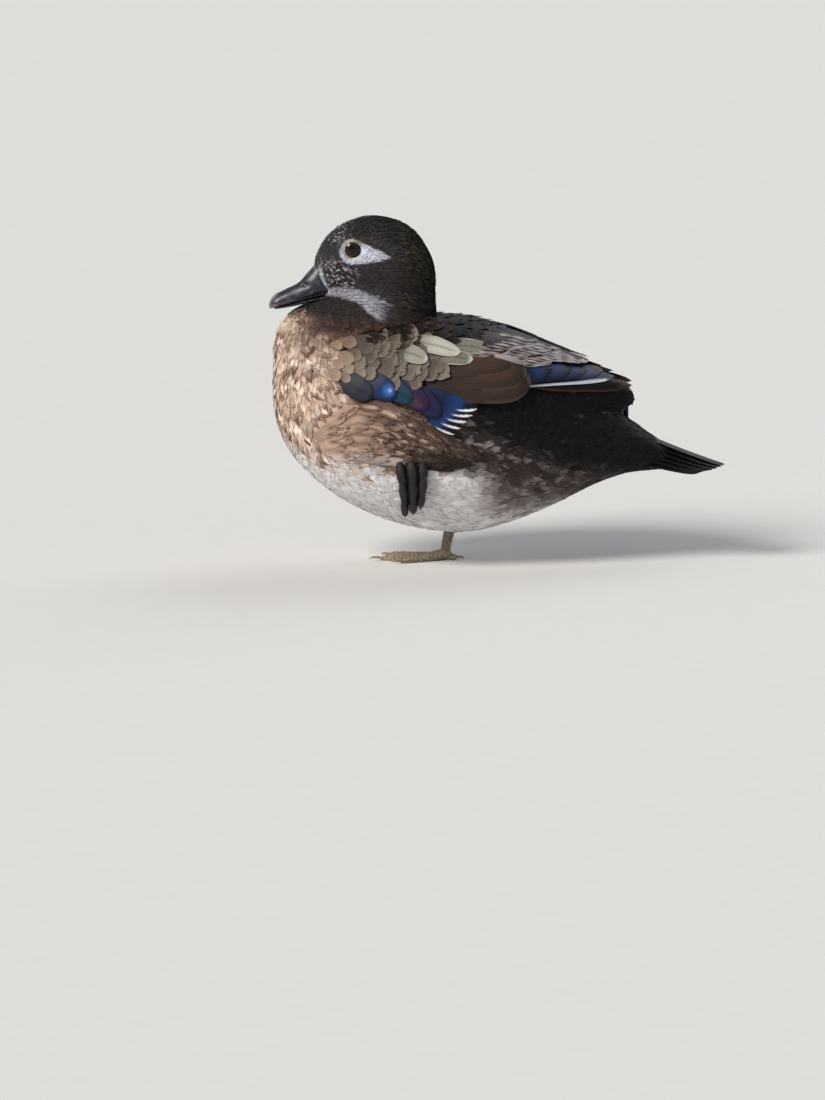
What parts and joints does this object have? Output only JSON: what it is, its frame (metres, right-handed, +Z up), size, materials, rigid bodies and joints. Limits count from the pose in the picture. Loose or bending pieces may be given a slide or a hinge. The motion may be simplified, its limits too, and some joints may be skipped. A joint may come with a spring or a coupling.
{
  "type": "wood duck",
  "caption": "Life-size wood duck hen resting on one leg, neck drawn in, the other foot tucked up against the flank.",
  "frame": {"origin": "on the floor, under the middle of the standing foot, in the hen's midplane", "axes": "+Z up, -X the way the hen faces, -Y her left side, which the picture shows"},
  "size_m": [0.2829, 0.1354, 0.2154],
  "materials": {
    "plumage": "matt feathers with a soft sheen",
    "gloss_feathers": "glossy vanes of the same horn as the rest, bronze and blue",
    "bill": "satin horn",
    "skin": "scaled skin",
    "eye": "wet and clear"
  },
  "bodies": {
    "root": {"torso": "plumage", "neck": "plumage", "head": "plumage", "crest": "gloss_feathers", "bill_upper": "bill", "bill_lower": "bill", "tail": "gloss_feathers", "wing_left": "gloss_feathers", "wing_right": "gloss_feathers", "leg_right": "skin", "foot_right": "skin", "foot_left": "skin", "eye_left": "eye", "eye_right": "eye"}
  },
  "joints": []
}
